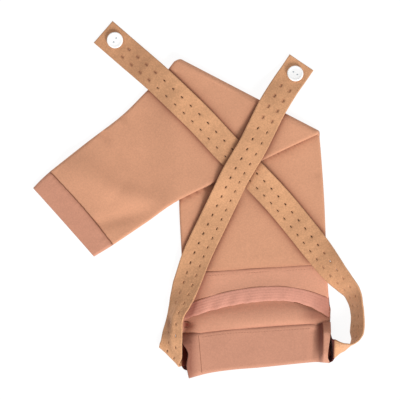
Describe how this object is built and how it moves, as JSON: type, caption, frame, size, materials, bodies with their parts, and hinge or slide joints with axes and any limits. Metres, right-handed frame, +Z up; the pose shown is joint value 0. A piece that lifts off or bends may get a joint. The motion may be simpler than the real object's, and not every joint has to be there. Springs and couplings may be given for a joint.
{
  "type": "arm compression sleeve",
  "caption": "full-length knit arm compression sleeve with a shoulder strap, folded at the elbow and laid flat; the pierced elastic strap runs through a casing and has buttons at its ends",
  "frame": {"origin": "under the middle of the laid-out sleeve, on the surface it lies on", "axes": "+Z up from that surface, +Y towards the folded elbow, +X towards the strap's free loop, -X towards the wrist"},
  "size_m": [0.3452, 0.374, 0.0305],
  "materials": {
    "knit": "fine matt stretch knit",
    "rib": "finer rib knit, slightly pinker",
    "elastic": "woven elastic webbing",
    "plastic": "white moulded, low gloss"
  },
  "bodies": {
    "root": {"sleeve": "knit", "wrist_cuff": "rib", "top_band": "rib", "hem_band": "rib", "strap_casing": "rib", "strap": "elastic", "button_left": "plastic", "button_right": "plastic"}
  },
  "joints": []
}
